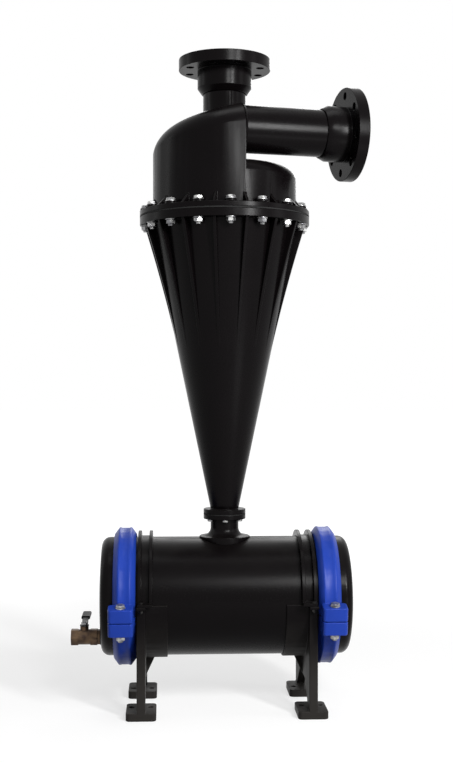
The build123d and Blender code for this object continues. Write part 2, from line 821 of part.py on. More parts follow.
# Stem: stands on the ball's flat and carries the lever
with BuildPart() as valve_stem:
    with BuildSketch(Plane(origin=(-stem_x, 0, drain_height + ball_radius - ball_flat))):
        Circle(stem_radius)
    extrude(amount=stem_height - ball_radius + ball_flat)
save(valve_stem.part, "valve_stem")

# Lever: a flat bar, cranked upwards, that points to the back while the valve is shut
lever_base = drain_height + lever_foot
lever_end = lever_length - grip_end
lever_side = Plane(origin=(-stem_x, 0, lever_base), x_dir=(0, 1, 0), z_dir=(1, 0, 0))
with BuildPart() as valve_lever:
    with BuildSketch(lever_side):
        with BuildLine():
            Polyline(
                (0, 0),
                (lever_bend_start, 0),
                (lever_bend_end, lever_rise),
                (lever_end, lever_rise),
                (lever_end, lever_rise + lever_thickness),
                (lever_bend_end, lever_rise + lever_thickness),
                (lever_bend_start, lever_thickness),
                (0, lever_thickness),
                close=True,
            )
        make_face()
    extrude(amount=lever_width / 2, both=True)
    with BuildSketch(Plane(origin=(-stem_x, 0, lever_base))):
        Circle(lever_hub_radius)
    extrude(amount=lever_thickness)
    with BuildSketch(Plane(origin=(-stem_x, 0, lever_base))):
        Circle(stem_radius + fit_gap)
    extrude(amount=lever_thickness, mode=Mode.SUBTRACT)
save(valve_lever.part, "valve_lever")

# Grip: a sleeve over the end of the lever
grip_middle = lever_base + lever_rise + lever_thickness / 2
grip_tip = Plane(origin=(-stem_x, lever_length, grip_middle), x_dir=(1, 0, 0), z_dir=(0, 1, 0))
with BuildPart() as lever_grip:
    with BuildSketch(grip_tip):
        RectangleRounded(grip_width, grip_height, grip_corner)
    extrude(amount=-grip_length)
    with BuildSketch(grip_tip.offset(fit_gap - grip_end)):
        Rectangle(lever_width + 2 * fit_gap, lever_thickness + 2 * fit_gap)
    extrude(amount=-grip_length, mode=Mode.SUBTRACT)
save(lever_grip.part, "lever_grip")

# Nut that holds the lever on the stem
with BuildPart() as lever_nut:
    with BuildSketch(Plane(origin=(-stem_x, 0, lever_base + lever_thickness))):
        RegularPolygon(lever_nut_flats / 2, 6, major_radius=False)
        Circle(stem_radius + fit_gap, mode=Mode.SUBTRACT)
    extrude(amount=lever_nut_height)
save(lever_nut.part, "lever_nut")
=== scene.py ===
# %% [markdown]
# # A hydrocyclone filter
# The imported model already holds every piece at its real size, in metres, with the ground at zero and the
# cyclone's axis on Z. This lesson gives those pieces their soft moulded edges, adds the bolts and nuts
# that hold them together, mixes a finish for each material and lights the whole for one picture.

# %% Load the frame
import json
import math

import bpy
from mathutils import Matrix, Vector

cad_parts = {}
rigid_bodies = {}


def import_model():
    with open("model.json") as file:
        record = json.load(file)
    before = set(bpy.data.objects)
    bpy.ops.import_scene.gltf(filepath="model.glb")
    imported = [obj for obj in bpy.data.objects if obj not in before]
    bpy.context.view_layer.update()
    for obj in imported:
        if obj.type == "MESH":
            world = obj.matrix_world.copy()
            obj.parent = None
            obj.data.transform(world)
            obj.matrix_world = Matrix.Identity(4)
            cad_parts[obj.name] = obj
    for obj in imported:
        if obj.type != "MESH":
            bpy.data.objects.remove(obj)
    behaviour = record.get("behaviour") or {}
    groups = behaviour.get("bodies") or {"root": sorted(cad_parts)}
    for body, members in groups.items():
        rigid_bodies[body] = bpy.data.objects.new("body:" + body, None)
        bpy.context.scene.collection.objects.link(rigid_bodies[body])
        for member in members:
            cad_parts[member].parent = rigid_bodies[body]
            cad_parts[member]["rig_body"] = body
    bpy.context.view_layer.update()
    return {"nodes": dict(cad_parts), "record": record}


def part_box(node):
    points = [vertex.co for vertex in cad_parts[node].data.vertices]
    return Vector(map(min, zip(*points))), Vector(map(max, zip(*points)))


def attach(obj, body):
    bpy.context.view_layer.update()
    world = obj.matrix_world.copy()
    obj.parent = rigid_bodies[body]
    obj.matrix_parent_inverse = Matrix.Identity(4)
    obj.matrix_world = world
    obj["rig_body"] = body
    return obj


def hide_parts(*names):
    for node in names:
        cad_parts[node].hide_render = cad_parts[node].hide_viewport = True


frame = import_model()

# %% [markdown]
# ## The camera
# The photograph was taken from half the filter's height with a fairly long lens, a little to the left of
# straight on. A camera could be turned by eye until it fits, but its place and its lens change the
# picture in different ways, so both were measured first. The picture is tall, so the sensor's 36 mm lie
# along its height.

# %% Camera
MM = 0.001
PICTURE_HEIGHT = 763
SENSOR = 36
FOCAL_PIXELS = 1245
camera_azimuth = math.radians(-2.75)
camera_distance = 3.0
camera_height = 0.7765
camera_slide = 0.0048

camera_right = Vector((math.cos(camera_azimuth), math.sin(camera_azimuth), 0))
camera_forward = Vector((-math.sin(camera_azimuth), math.cos(camera_azimuth), 0))
camera_place = camera_right * camera_slide - camera_forward * camera_distance
bpy.ops.object.camera_add(
    location=(camera_place.x, camera_place.y, camera_height),
    rotation=(math.pi / 2, 0, camera_azimuth),
)
camera = bpy.context.object
camera.name = "camera"
camera.data.sensor_width = SENSOR
camera.data.lens = FOCAL_PIXELS / PICTURE_HEIGHT * SENSOR
bpy.context.scene.camera = camera
print("lens", round(camera.data.lens, 1), "mm")

# %% [markdown]
# ## Working by hand, in code
# An operator acts on whatever is selected, so each step has to clear the selection and pick the one object
# that it is meant for. Every step could do that by itself, but one forgotten line would then change the
# wrong piece, so these few helpers do it in one place.


# %% Selection helpers
def work_on(piece):
    """Makes one object the only selected and active one, in object mode."""
    if bpy.context.mode != "OBJECT":
        bpy.ops.object.mode_set(mode="OBJECT")
    bpy.ops.object.select_all(action="DESELECT")
    piece.select_set(True)
    bpy.context.view_layer.objects.active = piece
    return piece


def edit_all(piece):
    """Opens a piece in edit mode with all of it selected."""
    work_on(piece)
    bpy.ops.object.mode_set(mode="EDIT")
    bpy.ops.mesh.select_all(action="SELECT")


def leave_edit():
    """Goes back to object mode."""
    bpy.ops.object.mode_set(mode="OBJECT")


def settle(piece):
    """Writes a piece's place and turn into its mesh, so that its object sits at the origin."""
    work_on(piece)
    bpy.ops.object.transform_apply(location=True, rotation=True, scale=True)
    return piece


# %% [markdown]
# Nothing that comes out of a mould or a foundry has a knife edge. A Bevel modifier that only takes the
# sharp edges, with two or three segments, gives each edge a small radius that catches a line of light.
# The piece is shaded smooth first and the bevel hardens its normals, so a long wall beside a small radius
# keeps its own shading and doesn't turn cloudy.


# %% Soft edges
SHARP_ANGLE = math.radians(30)
SMOOTH_ANGLE = math.radians(40)


def soften(piece, radius, segments=2):
    """Rounds the sharp edges of a piece and shades the rest smooth."""
    work_on(piece)
    bpy.ops.object.shade_smooth_by_angle(angle=SHARP_ANGLE)
    bevel = piece.modifiers.new("soft_edges", "BEVEL")
    bevel.width = radius
    bevel.segments = segments
    bevel.limit_method = "ANGLE"
    bevel.angle_limit = SHARP_ANGLE
    bevel.use_clamp_overlap = False
    bevel.harden_normals = True
    bpy.ops.object.modifier_apply(modifier=bevel.name)
    return piece


# %% [markdown]
# ## Castings and mouldings
# The head, the tank and the stands came out of moulds, and the clamps out of a foundry. They could be
# modelled again from primitives, but the CAD solids have the right forms already and lack only their soft
# edges. So a copy of each mesh is merged, because it comes as loose triangles, its flat faces are
# dissolved back into whole ones, and then its edges are rounded.


# %% Copies with soft edges
MERGE = 0.001 * MM
FLAT_ANGLE = math.radians(0.3)
MOULD_EDGE = 1.5 * MM
THIN_EDGE = 1.2 * MM
PIPE_EDGE = 1.0 * MM
THICK_EDGE = 2.0 * MM
CAST_EDGE = 2.2 * MM


def moulded_copy(node, name, radius):
    """A merged copy of a CAD node with rounded edges, which stands for that node."""
    piece = bpy.data.objects.new(name, frame["nodes"][node].data.copy())
    bpy.context.scene.collection.objects.link(piece)
    edit_all(piece)
    bpy.ops.mesh.remove_doubles(threshold=MERGE)
    bpy.ops.mesh.dissolve_limited(angle_limit=FLAT_ANGLE)
    leave_edit()
    soften(piece, radius)
    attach(piece, frame["nodes"][node]["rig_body"])
    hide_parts(node)
    return piece


plastic_pieces = {
    "head_moulding": moulded_copy("cyclone_head", "head_moulding", MOULD_EDGE),
    "neck_moulding": moulded_copy("tank_neck", "neck_moulding", THIN_EDGE),
    "tank_tube": moulded_copy("tank_shell", "tank_tube", MOULD_EDGE),
    "inlet_tube": moulded_copy("inlet_pipe", "inlet_tube", PIPE_EDGE),
}
stand_pieces = {}
blue_pieces = {}
for side in ("left", "right"):
    cap_name = f"{side}_cap_moulding"
    plastic_pieces[cap_name] = moulded_copy(f"{side}_end_cap", cap_name, THICK_EDGE)
    stand_name = f"{side}_stand_moulding"
    stand_pieces[stand_name] = moulded_copy(f"{side}_stand", stand_name, THICK_EDGE)
    strap_name = f"{side}_strap_moulding"
    plastic_pieces[strap_name] = moulded_copy(f"{side}_strap", strap_name, THIN_EDGE)
    for half in ("upper", "lower"):
        clamp_name = f"{side}_{half}_clamp_casting"
        blue_pieces[clamp_name] = moulded_copy(f"{side}_clamp_{half}", clamp_name, CAST_EDGE)
print("mouldings", len(plastic_pieces), "castings", len(blue_pieces), "stands", len(stand_pieces))

# %% [markdown]
# The drain is a small ball valve: a brass body on a nipple, a stem, and a flat steel lever in a vinyl
# sleeve. The same copies serve, with finer edges, since a radius that suits the tank would eat up a bar a
# few millimetres thick. The lever, stem, nut and sleeve ride on the moving body and turn together.

# %% Valve pieces
BRASS_EDGE = 0.8 * MM
BAR_EDGE = 0.7 * MM
STEM_EDGE = 0.6 * MM
SLEEVE_EDGE = 1.4 * MM
brass_pieces = {
    "nipple_turning": moulded_copy("drain_nipple", "nipple_turning", BRASS_EDGE),
    "valve_casting": moulded_copy("valve_body", "valve_casting", BRASS_EDGE),
}
steel_pieces = {
    "stem_turning": moulded_copy("valve_stem", "stem_turning", STEM_EDGE),
    "lever_bar": moulded_copy("valve_lever", "lever_bar", BAR_EDGE),
    "lever_top_nut": moulded_copy("lever_nut", "lever_top_nut", STEM_EDGE),
}
grip_pieces = {"lever_sleeve": moulded_copy("lever_grip", "lever_sleeve", SLEEVE_EDGE)}
print("valve pieces", [*brass_pieces, *steel_pieces, *grip_pieces])

# %% [markdown]
# ## Pipe flanges
# A flange is the ring that bolts a pipe to the next one. Cylinders could be stacked for it, but it is a
# turned thing, so its section is drawn once as a line of vertices and spun round the axis, taper and all.
# The sealing face has fine rings pressed into it that bite into the gasket, so the section has a small
# notch for each ring. The eight bolt holes are cut with a Boolean, as a drill would.

# %% The lathe
SPIN_STEPS = 96


def trace(name, section, closed):
    """Draws a line of vertices, given as radius and height, and leaves it selected in edit mode."""
    bpy.ops.object.select_all(action="DESELECT")
    bpy.ops.mesh.primitive_plane_add(size=MM)
    piece = bpy.context.object
    piece.name = name
    edit_all(piece)
    bpy.ops.mesh.merge(type="CENTER")
    here = Vector((section[0][0], 0, section[0][1]))
    bpy.ops.transform.translate(value=here)
    for radius, height in list(section[1:]) + (section[:1] if closed else []):
        there = Vector((radius, 0, height))
        bpy.ops.mesh.extrude_vertices_move(TRANSFORM_OT_translate={"value": there - here})
        here = there
    bpy.ops.mesh.select_all(action="SELECT")
    bpy.ops.mesh.remove_doubles(threshold=MERGE)
    return piece


def turn(name, section, steps=SPIN_STEPS):
    """Spins a section about Z; one that starts on the axis ends there too and stays open."""
    piece = trace(name, section, closed=section[0][0] > 0)
    bpy.ops.mesh.spin(steps=steps, angle=2 * math.pi, center=(0, 0, 0), axis=(0, 0, 1))
    bpy.ops.mesh.select_all(action="SELECT")
    bpy.ops.mesh.remove_doubles(threshold=MERGE)
    bpy.ops.mesh.normals_make_consistent(inside=False)
    leave_edit()
    return piece


def stand_at(piece, place, axis):
    """Moves a piece that was made about Z to a place, with its Z along an axis."""
    piece.location = place
    piece.rotation_mode = "QUATERNION"
    piece.rotation_quaternion = Vector((0, 0, 1)).rotation_difference(Vector(axis))
    return settle(piece)


# %% Flange sizes, read from the frame
mounts = {mount["name"]: mount for mount in frame["record"]["mounts"]}
outlet_low, outlet_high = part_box("outlet_flange")
flange_radius = (outlet_high.x - outlet_low.x) / 2
flange_length = outlet_high.z - outlet_low.z
flange_bore = mounts["outlet"]["dims"]["r_mm"] * MM
bolt_circle = mounts["outlet_bolts"]["dims"]["pcd_mm"] * MM / 2
bolt_hole = mounts["outlet_bolts"]["dims"]["hole_r_mm"] * MM
bolt_count = mounts["outlet_bolts"]["dims"]["count"]
flange_thickness = 27 * MM
flange_lip = 12 * MM
hub_radius = 65 * MM
hub_taper = 14 * MM
hub_edge = 3 * MM
ring_count = 5
ring_pitch = 4.4 * MM
ring_width = 1.6 * MM
ring_depth = 0.9 * MM
print("flange", flange_radius, "hub length", flange_length - flange_thickness)


# %% Section of a flange
def flange_section(socket_radius):
    """Section of a flange, from the bore along the ringed face and round the hub to the socket."""
    section = [(flange_bore, 0)]
    for ring in range(ring_count):
        inner = flange_bore + (ring + 1) * ring_pitch
        section += [(inner, 0), (inner + ring_width / 2, -ring_depth), (inner + ring_width, 0)]
    return section + [
        (flange_radius, 0),
        (flange_radius, -flange_thickness),
        (hub_radius, -flange_thickness),
        (hub_radius, hub_taper - flange_length),
        (socket_radius + hub_edge, -flange_length),
        (socket_radius, -flange_length),
        (socket_radius, -flange_lip),
        (flange_bore, -flange_lip),
    ]


# %% Cutting, joining and drilling
DRILL_SIDES = 40


def cut(piece, cutter, operation="DIFFERENCE"):
    """Cuts a piece with another one, or keeps what they share, and throws the cutter away."""
    work_on(piece)
    boolean = piece.modifiers.new("cut", "BOOLEAN")
    boolean.operation = operation
    boolean.solver = "EXACT"
    boolean.object = cutter
    bpy.ops.object.modifier_apply(modifier=boolean.name)
    bpy.data.objects.remove(cutter)
    return piece


def join(name, parts):
    """Joins several objects into one and names it."""
    work_on(parts[0])
    for part in parts:
        part.select_set(True)
    bpy.ops.object.join()
    parts[0].name = name
    return parts[0]


def ring_places(radius, count, level, first):
    """Places on a circle about Z, the first of them turned from X by an angle."""
    steps = [first + 2 * math.pi * place / count for place in range(count)]
    return [Vector((radius * math.cos(step), radius * math.sin(step), level)) for step in steps]


def drills(places, hole, depth):
    """Drills that run as far below their places as above."""
    bits = []
    for place in places:
        bpy.ops.object.select_all(action="DESELECT")
        bpy.ops.mesh.primitive_cylinder_add(
            vertices=DRILL_SIDES, radius=hole, depth=2 * depth, location=place
        )
        bits.append(settle(bpy.context.object))
    return join("drills", bits)


# %% Both pipe flanges
def pipe_flange(name, node, mount, socket_radius):
    """A drilled flange with soft edges at a mount, which stands for its CAD node."""
    flange = turn(name, flange_section(socket_radius))
    places = ring_places(bolt_circle, bolt_count, 0, math.pi / bolt_count)
    cut(flange, drills(places, bolt_hole, 2 * flange_thickness))
    soften(flange, THIN_EDGE)
    stand_at(flange, mounts[mount]["pos_m"], mounts[mount]["axis"])
    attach(flange, "filter")
    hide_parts(node)
    return flange


socket_play = 0.25 * MM
outlet_radius = 51.5 * MM
pipe_radius = 55 * MM
outlet_socket = outlet_radius + socket_play
inlet_socket = pipe_radius + socket_play
plastic_pieces["outlet_ring"] = pipe_flange("outlet_ring", "outlet_flange", "outlet", outlet_socket)
plastic_pieces["inlet_ring"] = pipe_flange("inlet_ring", "inlet_flange", "inlet", inlet_socket)
print("flange faces", len(plastic_pieces["outlet_ring"].data.polygons))

# %% [markdown]
# ## The cone
# The cone is moulded in one with its two flanges, and ribs that swell upwards carry the large one. A cone
# from the CAD would do, but its long triangles shade unevenly, and this is the largest smooth face of
# all. So its section is spun on the lathe with even quads, and one rib is drawn, thickened and copied
# round.

# %% Sizes of the cone
main_low, main_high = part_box("head_gasket")
apex_low, apex_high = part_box("apex_gasket")
cone_base = apex_high.z
cone_top = main_low.z
main_radius = main_high.x
apex_radius = apex_high.x
main_bolt_margin = 14 * MM
apex_bolt_margin = 10 * MM
main_bolt_circle = main_radius - main_bolt_margin
apex_bolt_circle = apex_radius - apex_bolt_margin
main_bolt_count = 16
main_turn = math.radians(1.7)
apex_bolt_count = 6
main_hole = 6.5 * MM
apex_hole = 4.5 * MM
apex_thread = 8 * MM
cone_flange = 19 * MM
apex_flange = 11 * MM
neck_radius = 33.5 * MM
neck_bore = 24 * MM
cone_flange_width = 28.5 * MM
cone_top_radius = main_radius - cone_flange_width
cone_wall = 9 * MM
wall_foot = cone_base + apex_flange
wall_top = cone_top - cone_flange
print("cone from", round(cone_base, 4), "to", round(cone_top, 4), "radius", round(cone_top_radius, 4))

# %% Turn the cone and drill its flanges
CONE_STEPS = 192
wall_shares = (0, 0.01, 0.04, 0.2, 0.4, 0.6, 0.8, 0.96, 0.99, 1)
wall_rise = wall_top - wall_foot
outer_wall = [
    (neck_radius + share * (cone_top_radius - neck_radius), wall_foot + share * wall_rise)
    for share in wall_shares
]
cone_section = [(neck_bore, cone_base), (apex_radius, cone_base), (apex_radius, wall_foot)]
cone_section += outer_wall
cone_section += [
    (main_radius, wall_top),
    (main_radius, cone_top),
    (cone_top_radius - cone_wall, cone_top),
    (cone_top_radius - cone_wall, wall_top),
    (neck_bore, wall_foot),
]
cone_moulding = turn("cone_moulding", cone_section, CONE_STEPS)
apex_turn = math.pi / apex_bolt_count
main_places = ring_places(main_bolt_circle, main_bolt_count, cone_top, main_turn)
apex_places = ring_places(apex_bolt_circle, apex_bolt_count, cone_base, apex_turn)
cut(cone_moulding, drills(main_places, main_hole, 2 * cone_flange))
cut(cone_moulding, drills(apex_places, apex_hole, apex_thread))
soften(cone_moulding, MOULD_EDGE)
print("cone faces", len(cone_moulding.data.polygons))

# %% [markdown]
# A rib is a thin plate between the cone and its upper flange, low at its foot and swelling to the
# flange's rim. A wedge would do for a straight one. This outline is a curve, so it is drawn as a row of
# vertices through three known points, filled with one face and extruded to its thickness.

# %% One rib, drawn on its side and thickened
rib_length = 300 * MM
rib_reach = 19 * MM
rib_middle_reach = 6 * MM
rib_middle_length = 155 * MM
rib_middle_share = 1 - rib_middle_length / rib_length
rib_thickness = 8 * MM
rib_root = 2 * MM
rib_edge = 1.6 * MM
RIB_STEPS = 18
rib_swell = (rib_middle_reach / rib_middle_share - rib_reach) / (rib_middle_share - 1)
rib_slope = (cone_top_radius - neck_radius) / wall_rise
rib_line = []
for step in range(RIB_STEPS + 1):
    share = step / RIB_STEPS
    level = wall_top - rib_length * (1 - share)
    wall_radius = neck_radius + rib_slope * (level - wall_foot)
    rib_line.append((wall_radius + share * (rib_reach - rib_swell) + share * share * rib_swell, level))
rib_line += [
    (cone_top_radius + rib_reach, wall_top + rib_root),
    (cone_top_radius - rib_root, wall_top + rib_root),
    (rib_line[0][0] - rib_root, wall_top - rib_length),
]
rib = trace("rib", rib_line, closed=True)
bpy.ops.mesh.edge_face_add()
bpy.ops.transform.translate(value=(0, -rib_thickness / 2, 0))
bpy.ops.mesh.extrude_region_move(TRANSFORM_OT_translate={"value": (0, rib_thickness, 0)})
bpy.ops.mesh.select_all(action="SELECT")
bpy.ops.mesh.normals_make_consistent(inside=False)
leave_edit()
soften(rib, rib_edge)
print("rib swell", round(rib_swell / MM, 1), "mm, faces", len(rib.data.polygons))

# %% Copy the rib round the cone, between the bolts
ribs = []
for place in range(main_bolt_count):
    copy = rib.copy()
    copy.data = rib.data.copy()
    bpy.context.scene.collection.objects.link(copy)
    copy.rotation_euler.z = main_turn + 2 * math.pi * (place + 0.5) / main_bolt_count
    ribs.append(settle(copy))
bpy.data.objects.remove(rib)
cone_moulding = join("cone_moulding", [cone_moulding] + ribs)
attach(cone_moulding, "filter")
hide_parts("cone")
plastic_pieces["cone_moulding"] = cone_moulding
print("ribs", len(ribs), "cone faces", len(cone_moulding.data.polygons))

# %% [markdown]
# ## Bolts, washers and nuts
# Every joint is held by hexagon bolts. A hexagon head is a six-sided bar whose corners were taken off on
# a lathe, so a six-sided cylinder is cut down to what it shares with a turned barrel. One bolt is made
# for each joint and copied round it, each copy with a mesh of its own and turned a little, as a fitter
# leaves it.


# %% Parts of a bolt
HEX_CHAMFER = 0.14
HEX_LAND = 0.94
BARREL_STEPS = 48
WASHER_STEPS = 40
SHANK_STEPS = 24


def hexagon(name, flats, bottom, height):
    """A hexagon with its corners turned off at both ends."""
    corner = flats / math.sqrt(3)
    chamfer = HEX_CHAMFER * flats
    land = HEX_LAND * flats / 2
    barrel_radius = corner + MM
    bpy.ops.object.select_all(action="DESELECT")
    bpy.ops.mesh.primitive_cylinder_add(
        vertices=6, radius=corner, depth=height, location=(0, 0, bottom + height / 2)
    )
    block = settle(bpy.context.object)
    block.name = name
    barrel = turn(
        "barrel",
        [
            (0, bottom),
            (land, bottom),
            (barrel_radius, bottom + chamfer),
            (barrel_radius, bottom + height - chamfer),
            (land, bottom + height),
            (0, bottom + height),
        ],
        BARREL_STEPS,
    )
    return cut(block, barrel, "INTERSECT")


def washer(name, hole, radius, bottom, thickness):
    """A flat ring with its upper and lower rims eased."""
    ease = thickness / 4
    return turn(
        name,
        [
            (hole, bottom),
            (radius - ease, bottom),
            (radius, bottom + ease),
            (radius, bottom + thickness - ease),
            (radius - ease, bottom + thickness),
            (hole, bottom + thickness),
        ],
        WASHER_STEPS,
    )


def threaded_end(name, radius, top, bottom):
    """A shank whose lower end shows a few turns of thread and a chamfered tip."""
    pitch = radius / 3
    depth = 0.12 * radius
    turns = 5
    tip_radius = 0.8 * radius
    section = [(0, top), (radius, top), (radius, bottom + (turns + 1) * pitch)]
    for crest in range(turns, 0, -1):
        level = bottom + crest * pitch
        section += [(radius - depth, level + pitch / 2), (radius, level)]
    section += [(tip_radius, bottom), (0, bottom)]
    return turn(name, section, SHANK_STEPS)


# %% A whole bolt
def bolt(name, size, grip, washer_radius, with_nut=True):
    """A bolt about Z: its head lies on z = 0, and its nut, or a screw's tip, a grip's length below."""
    flats = 1.6 * size
    plate = 0.2 * size
    head = 0.48 * size
    nut = 0.75 * size
    tail = 0.4 * size
    shank = size / 2
    parts = [hexagon("head", flats, plate, head), washer("upper_washer", shank, washer_radius, 0, plate)]
    tip = -grip
    if with_nut:
        parts.append(washer("lower_washer", shank, washer_radius, -grip - plate, plate))
        parts.append(hexagon("nut", flats, -grip - plate - nut, nut))
        tip = -grip - plate - nut - tail
    parts.append(threaded_end("shank", shank, plate, tip))
    made = join(name, parts)
    work_on(made)
    bpy.ops.object.shade_smooth_by_angle(angle=SHARP_ANGLE)
    return made


# %% A row of bolts
FITTER_TURN = math.radians(37)


def bolt_up(name, pattern, places, axis):
    """Copies a bolt to each place, joins the copies and throws the pattern away."""
    upright = Vector((0, 0, 1)).rotation_difference(Vector(axis)).to_matrix().to_4x4()
    copies = []
    for number, place in enumerate(places):
        copy = pattern.copy()
        copy.data = pattern.data.copy()
        bpy.context.scene.collection.objects.link(copy)
        spin = Matrix.Rotation(number * FITTER_TURN, 4, "Z")
        copy.matrix_world = Matrix.Translation(place) @ upright @ spin
        copies.append(settle(copy))
    bpy.data.objects.remove(pattern)
    group = join(name, copies)
    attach(group, "filter")
    steel_pieces[name] = group
    print(name, len(places), "bolts,", len(group.data.polygons), "faces")
    return group


# %% [markdown]
# ### The four kinds of joint
# Sixteen bolts close the head onto the cone, six screws hold the cone on the tank's neck, two bolts draw
# each clamp together and two hold each strap. They could be placed by eye, but their holes are in the
# CAD, so each row starts from the box of a piece beside it and follows the part if its size changes.

# %% Bolts of the main joint, between the cone and the head
main_bolt_size = 12 * MM
main_washer = 12.5 * MM
head_flange = 12 * MM
head_boss = 6 * MM
main_top = main_high.z + head_flange + head_boss
main_grip = main_top - (main_low.z - cone_flange)
bolt_up(
    "main_bolts",
    bolt("main_bolt", main_bolt_size, main_grip, main_washer),
    ring_places(main_bolt_circle, main_bolt_count, main_top, main_turn),
    (0, 0, 1),
)

# %% Screws of the apex joint, from below through the neck's flange into the cone
apex_screw_size = 7.5 * MM
apex_washer = 6.7 * MM
thread_share = 0.8
apex_grip = apex_flange + apex_high.z - apex_low.z + thread_share * apex_thread
bolt_up(
    "apex_screws",
    bolt("apex_screw", apex_screw_size, apex_grip, apex_washer, with_nut=False),
    ring_places(apex_bolt_circle, apex_bolt_count, apex_low.z - apex_flange, apex_turn),
    (0, 0, -1),
)

# %% Bolts of the clamps, square to their tilted split
tank_low, tank_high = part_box("tank_shell")
tank_level = (tank_low.z + tank_high.z) / 2
clamp_bolt_size = 12 * MM
clamp_washer = 11.5 * MM
split_tilt = math.radians(9.5)
lug_bolt_radius = 179 * MM
lug_height = 32 * MM
lug_offset = 6.5 * MM
clamp_axis = Vector((0, -math.sin(split_tilt), math.cos(split_tilt)))
outwards = Vector((0, math.cos(split_tilt), math.sin(split_tilt)))
for side, lug_x in (("left", tank_low.x - lug_offset), ("right", tank_high.x + lug_offset)):
    middle = Vector((lug_x, 0, tank_level)) + clamp_axis * lug_height
    bolt_up(
        f"{side}_clamp_bolts",
        bolt("clamp_bolt", clamp_bolt_size, 2 * lug_height, clamp_washer),
        [middle + outwards * end * lug_bolt_radius for end in (-1, 1)],
        clamp_axis,
    )

# %% Bolts of the straps, through their ears into the stands
outer_row = mounts["foot_bolts_outer"]["dims"]["spacing_x_mm"] * MM / 2
inner_row = mounts["foot_bolts_inner"]["dims"]["spacing_x_mm"] * MM / 2
strap_x = (outer_row + inner_row) / 2
strap_bolt_margin = 7 * MM
strap_bolt_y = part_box("left_strap")[1].y - strap_bolt_margin
strap_bolt_size = 6 * MM
strap_washer = 5.8 * MM
ear = 7 * MM
for side, sign in (("left", -1), ("right", 1)):
    bolt_up(
        f"{side}_strap_bolts",
        bolt("strap_bolt", strap_bolt_size, 2 * ear, strap_washer),
        [Vector((sign * strap_x, end * strap_bolt_y, tank_level + ear)) for end in (-1, 1)],
        (0, 0, 1),
    )

# %% [markdown]
# ## Small turned details
# The inlet pipe is welded to the scroll's flat face, which leaves a rounded bead. A bevel on the corner
# could stand for it, but a bead stands proud of both faces, so a quarter of a circle is spun round the
# pipe's axis.

# %% Weld bead round the inlet pipe
inlet_axis = Vector(mounts["inlet"]["axis"])
inlet_reach = 283 * MM
bead = 5 * MM
bead_bite = 1 * MM
bead_arc = [math.radians(step) for step in (0, 22.5, 45, 67.5, 90)]
bead_root = pipe_radius - bead_bite
bead_section = [(bead_root, 0)]
bead_section += [(pipe_radius + bead * math.cos(step), bead * math.sin(step)) for step in bead_arc]
bead_section.append((bead_root, bead))
inlet_bead = turn("inlet_bead", bead_section)
work_on(inlet_bead)
bpy.ops.object.shade_smooth_by_angle(angle=SMOOTH_ANGLE)
stand_at(inlet_bead, Vector(mounts["inlet"]["pos_m"]) - inlet_axis * inlet_reach, inlet_axis)
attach(inlet_bead, "filter")
plastic_pieces["inlet_bead"] = inlet_bead
print("bead faces", len(inlet_bead.data.polygons))

# %% [markdown]
# Inside the open end of the drain valve a pipe thread waits for a hose tail. A Screw modifier would wind
# a true helix, but only its first turns can be seen, so the crests are plain rings, close enough to read
# as a thread.

# %% Thread in the drain's open end
THREAD_STEPS = 48
drain_bore = mounts["drain_outlet"]["dims"]["r_mm"] * MM
drain_depth = mounts["drain_outlet"]["dims"]["length_mm"] * MM
thread_pitch = 1.8 * MM
thread_depth = 1.1 * MM
thread_bite = 0.2 * MM
thread_turns = int(drain_depth / thread_pitch) - 1
thread_start = -MM
thread_root = drain_bore + thread_bite
thread_section = [(thread_root, thread_start)]
for crest in range(thread_turns):
    level = thread_start - crest * thread_pitch
    thread_section += [(drain_bore, level), (drain_bore - thread_depth, level - thread_pitch / 2)]
thread_section.append((thread_root, thread_start - thread_turns * thread_pitch))
drain_thread = turn("drain_thread", thread_section, THREAD_STEPS)
stand_at(drain_thread, mounts["drain_outlet"]["pos_m"], mounts["drain_outlet"]["axis"])
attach(drain_thread, "filter")
brass_pieces["drain_thread"] = drain_thread
print("thread turns", thread_turns)

# %% [markdown]
# ## Finishes
# A finish is a small graph of nodes that changes colour, roughness and bumps over a surface. Pictures
# could be wrapped round the pieces for that, but they need unwrapping and show their pixels near by.
# Noise in object coordinates needs neither. Shader maths reads best as plain sums, so one small class
# wraps a socket: sums and products of wires add the Math nodes, and its node method adds any other node.


# %% Wires
class Wire:
    """A socket of a node tree; sums and products of wires and numbers add Math nodes."""

    def __init__(self, tree, socket=None):
        self.tree = tree
        self.socket = socket

    def node(self, kind, settings=None, sockets=None, output=0):
        """Adds a node, sets it up, then feeds its sockets with values or wires."""
        made = self.tree.nodes.new(kind)
        for name, value in (settings or {}).items():
            setattr(made, name, value)
        for name, value in (sockets or {}).items():
            if isinstance(value, Wire):
                self.tree.links.new(value.socket, made.inputs[name])
            else:
                made.inputs[name].default_value = value
        return Wire(self.tree, made.outputs[output])

    def math(self, operation, first, second):
        """One Math node; its result isn't clamped."""
        return self.node("ShaderNodeMath", {"operation": operation}, {0: first, 1: second})

    def __add__(self, other):
        return self.math("ADD", self, other)

    __radd__ = __add__

    def __mul__(self, other):
        return self.math("MULTIPLY", self, other)

    __rmul__ = __mul__

    def __sub__(self, other):
        return self.math("SUBTRACT", self, other)

    def __rsub__(self, other):
        return self.math("SUBTRACT", other, self)

    def ramp(self, low, high):
        """0 below low, 1 above high and a smooth rise between."""
        return self.node(
            "ShaderNodeMapRange",
            {"interpolation_type": "SMOOTHSTEP"},
            {"Value": self, "From Min": low, "From Max": high},
        )

    def blend(self, below, above):
        """A colour that goes from one to the other as this wire goes from 0 to 1."""
        return self.node("ShaderNodeMix", {"data_type": "RGBA"}, {0: self, 6: below, 7: above}, output=2)

    def into(self, shader, socket):
        """Links this wire to a socket of a shader."""
        self.tree.links.new(self.socket, shader.inputs[socket])


